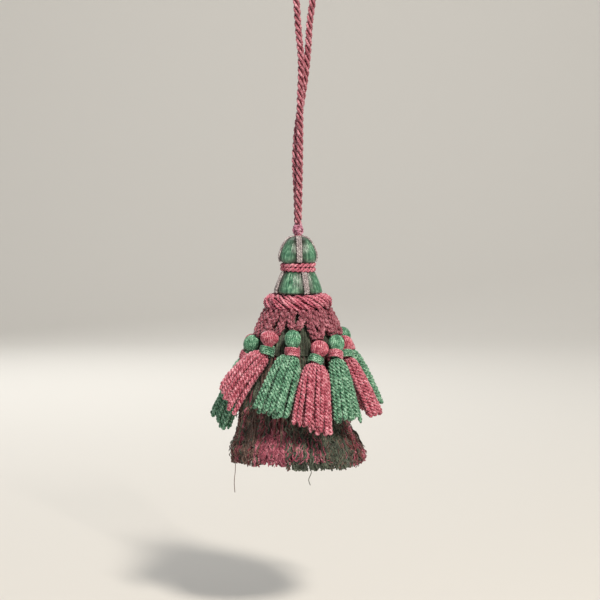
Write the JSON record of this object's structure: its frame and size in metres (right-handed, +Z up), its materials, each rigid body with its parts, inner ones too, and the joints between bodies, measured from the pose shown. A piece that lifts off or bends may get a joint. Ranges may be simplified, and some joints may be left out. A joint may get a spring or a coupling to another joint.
{
  "type": "tassel",
  "caption": "Hanging key tassel: looped twisted cord, knot, yarn-wrapped head, rope ruff, ring of small tassels in two colours over a cut skirt.",
  "frame": {"origin": "inside the top of the hanging cord's loop, where a hook or knob bears", "axes": "+Z up along the hanging cord, -Y towards the tassel's front, +X to its right"},
  "size_m": [0.078, 0.0763, 0.2308],
  "materials": {
    "rose_cord": "soft sheen twisted cord",
    "green_satin_yarn": "satin yarn laid side by side",
    "pale_yarn": "matt",
    "green_yarn": "soft sheen twisted yarn",
    "rose_yarn": "soft sheen twisted yarn",
    "mixed_fringe": "matt cut yarn"
  },
  "bodies": {
    "root": {"hanging_cord": "rose_cord", "knot": "rose_cord", "head": "green_satin_yarn", "dome_rib_1": "pale_yarn", "dome_rib_2": "pale_yarn", "dome_rib_3": "pale_yarn", "dome_rib_4": "pale_yarn", "bell_rib_1": "pale_yarn", "bell_rib_2": "pale_yarn", "bell_rib_3": "pale_yarn", "bell_rib_4": "pale_yarn", "waist_binding": "rose_cord", "ruff": "rose_cord", "hanger_01": "rose_cord", "small_tassel_01": "green_yarn", "neck_01": "rose_yarn", "hanger_02": "rose_cord", "small_tassel_02": "rose_yarn", "neck_02": "green_yarn", "hanger_03": "rose_cord", "small_tassel_03": "green_yarn", "neck_03": "rose_yarn", "hanger_04": "rose_cord", "small_tassel_04": "rose_yarn", "neck_04": "green_yarn", "hanger_05": "rose_cord", "small_tassel_05": "green_yarn", "neck_05": "rose_yarn", "hanger_06": "rose_cord", "small_tassel_06": "rose_yarn", "neck_06": "green_yarn", "hanger_07": "rose_cord", "small_tassel_07": "green_yarn", "neck_07": "rose_yarn", "hanger_08": "rose_cord", "small_tassel_08": "rose_yarn", "neck_08": "green_yarn", "hanger_09": "rose_cord", "small_tassel_09": "green_yarn", "neck_09": "rose_yarn", "hanger_10": "rose_cord", "small_tassel_10": "rose_yarn", "neck_10": "green_yarn", "hanger_11": "rose_cord", "small_tassel_11": "green_yarn", "neck_11": "rose_yarn", "hanger_12": "rose_cord", "small_tassel_12": "rose_yarn", "neck_12": "green_yarn", "main_skirt": "mixed_fringe"}
  },
  "joints": []
}
